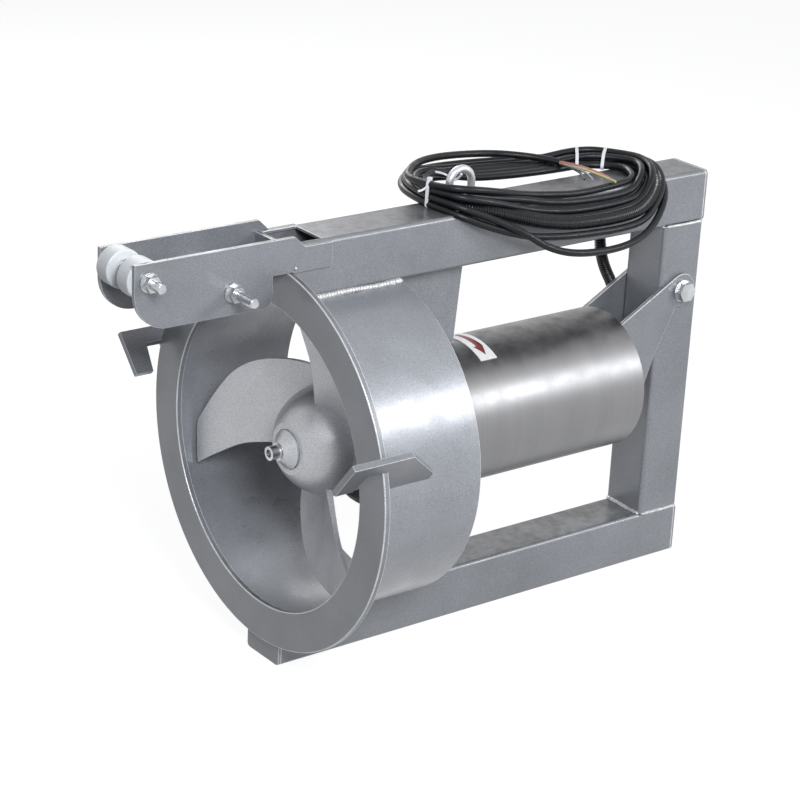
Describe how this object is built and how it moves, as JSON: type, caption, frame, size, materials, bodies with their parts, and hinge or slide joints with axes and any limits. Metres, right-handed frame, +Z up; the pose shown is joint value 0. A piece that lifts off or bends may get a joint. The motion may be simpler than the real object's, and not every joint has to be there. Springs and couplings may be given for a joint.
{
  "type": "sludge return pump",
  "caption": "Submersible propeller pump in a welded square tube frame with guide rollers, coupling hooks and coiled cable.",
  "frame": {"origin": "centre of the discharge flange's front face, on the pump axis", "axes": "+X back along the pump axis to the motor, +Z up; -Y is the side with the roller nuts"},
  "size_m": [0.902, 0.5178, 0.61],
  "materials": {
    "frame_paint": "satin silver-grey coating",
    "impeller_paint": "satin silver-grey coating on cast iron",
    "motor_steel": "turned stainless steel",
    "housing_iron": "machined and painted",
    "nylon_white": "turned white nylon",
    "zinc_bolt": "bright zinc plate",
    "shaft_steel": "ground",
    "bearing_steel": "polished",
    "core_steel": "laminated steel",
    "copper_winding": "varnished copper wire",
    "seal_black": "nitrile",
    "seal_face": "lapped silicon carbide",
    "cable_black": "rubber cable sheath",
    "tie_white": "nylon",
    "label_white": "printed film with an arrow"
  },
  "bodies": {
    "frame": {"shroud_tube": "frame_paint", "front_flange": "frame_paint", "bottom_beam": "frame_paint", "top_beam": "frame_paint", "rear_column": "frame_paint", "end_caps": "frame_paint", "lifting_eye": "frame_paint", "roller_plate_near": "frame_paint", "roller_plate_far": "frame_paint", "cross_plate": "frame_paint", "roller_nuts": "zinc_bolt", "roller_washers": "zinc_bolt", "roller_bolt_front": "zinc_bolt", "roller_bolt_rear": "zinc_bolt", "hook_near": "frame_paint", "hook_far": "frame_paint", "front_web": "frame_paint", "cheek_plate_near": "frame_paint", "cheek_plate_far": "frame_paint", "pivot_bolt": "zinc_bolt", "pivot_nut": "zinc_bolt", "pivot_washers": "zinc_bolt", "motor_barrel": "motor_steel", "front_housing": "housing_iron", "oil_plug": "zinc_bolt", "bearing_bracket": "housing_iron", "housing_screws": "zinc_bolt", "rear_bracket": "housing_iron", "rear_cover": "motor_steel", "cover_screws": "zinc_bolt", "o_rings": "seal_black", "arrow_label": "label_white", "seal_seat": "seal_face", "lip_seal": "seal_black", "front_bearing_outer": "bearing_steel", "rear_bearing_outer": "bearing_steel", "stator_core": "core_steel", "stator_windings": "copper_winding", "cable_gland": "motor_steel", "gland_nut": "motor_steel", "cable_run": "cable_black", "cable_coil": "cable_black", "cable_ties": "tie_white"},
    "rotor": {"shaft": "shaft_steel", "impeller_key": "shaft_steel", "impeller": "impeller_paint", "impeller_cap": "impeller_paint", "impeller_bolt": "zinc_bolt", "cap_washer": "zinc_bolt", "seal_ring": "seal_face", "seal_bellows": "seal_black", "rotor_core": "core_steel", "front_bearing_inner": "bearing_steel", "rear_bearing_inner": "bearing_steel", "front_bearing_balls": "bearing_steel", "rear_bearing_balls": "bearing_steel"},
    "roller_front_near": {"roller_front_near": "nylon_white"},
    "roller_front_far": {"roller_front_far": "nylon_white"},
    "roller_rear_near": {"roller_rear_near": "nylon_white"},
    "roller_rear_far": {"roller_rear_far": "nylon_white"}
  },
  "joints": [
    {"name": "rotor_spin", "type": "hinge", "parent": "frame", "child": "rotor", "pos_m": [0.1, 0, 0], "axis": [1, 0, 0], "continuous": true},
    {"name": "roller_front_near_spin", "type": "hinge", "parent": "frame", "child": "roller_front_near", "pos_m": [-0.194, 0, 0.269], "axis": [0, 1, 0], "continuous": true},
    {"name": "roller_front_far_spin", "type": "hinge", "parent": "frame", "child": "roller_front_far", "pos_m": [-0.194, 0, 0.269], "axis": [0, 1, 0], "continuous": true},
    {"name": "roller_rear_near_spin", "type": "hinge", "parent": "frame", "child": "roller_rear_near", "pos_m": [-0.079, 0, 0.237], "axis": [0, 1, 0], "continuous": true},
    {"name": "roller_rear_far_spin", "type": "hinge", "parent": "frame", "child": "roller_rear_far", "pos_m": [-0.079, 0, 0.237], "axis": [0, 1, 0], "continuous": true}
  ]
}
